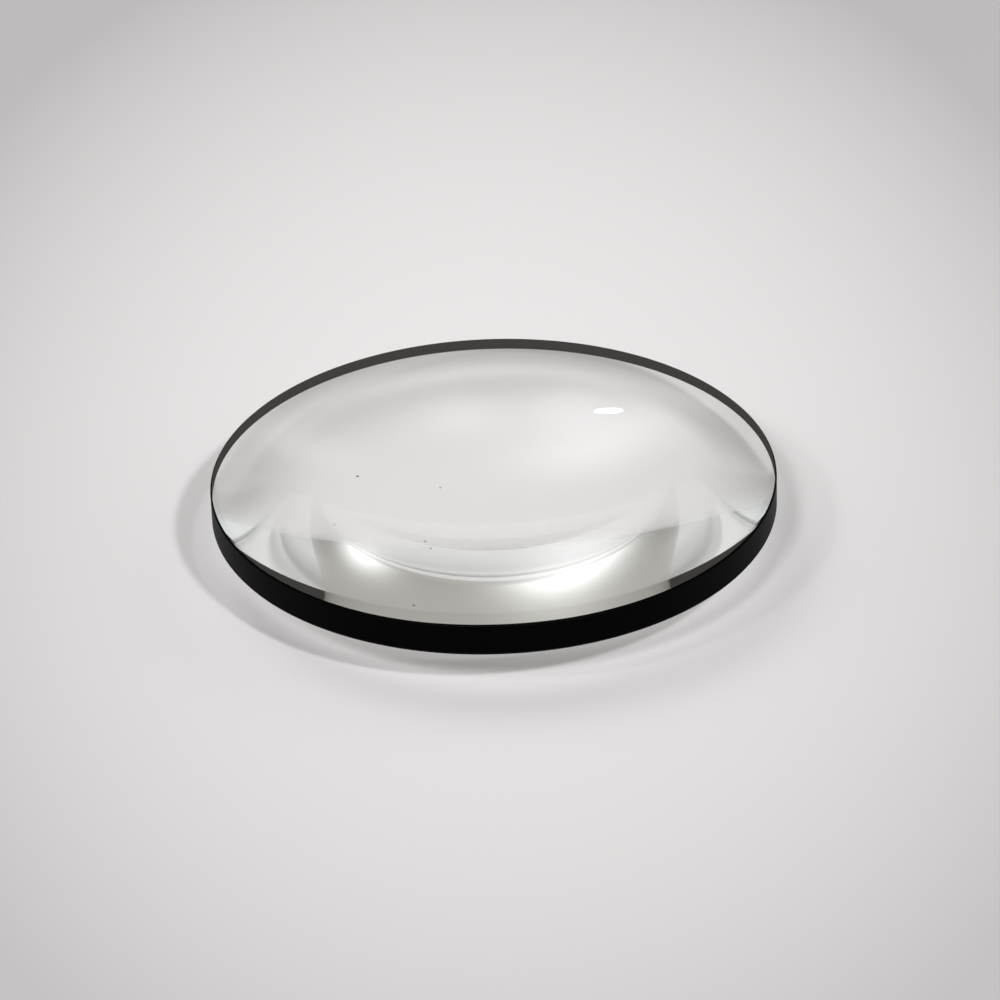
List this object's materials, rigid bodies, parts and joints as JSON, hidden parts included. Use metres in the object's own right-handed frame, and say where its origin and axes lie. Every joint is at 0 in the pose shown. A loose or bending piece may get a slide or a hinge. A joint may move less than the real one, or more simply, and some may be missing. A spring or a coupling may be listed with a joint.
{
  "type": "plano-convex lens",
  "caption": "Round plano-convex glass lens with one flat face, one spherical convex face and a blackened ground edge, for focusing or collimating light.",
  "frame": {"origin": "vertex of the convex face, on the optical axis, the point the lens stands on", "axes": "+Z along the optical axis, from the convex face towards the flat face; X and Y are equivalent"},
  "size_m": [0.05, 0.05, 0.007],
  "materials": {
    "glass": "polished faces, fine-ground edge inked matt black"
  },
  "bodies": {
    "root": {"lens": "glass"}
  },
  "joints": []
}
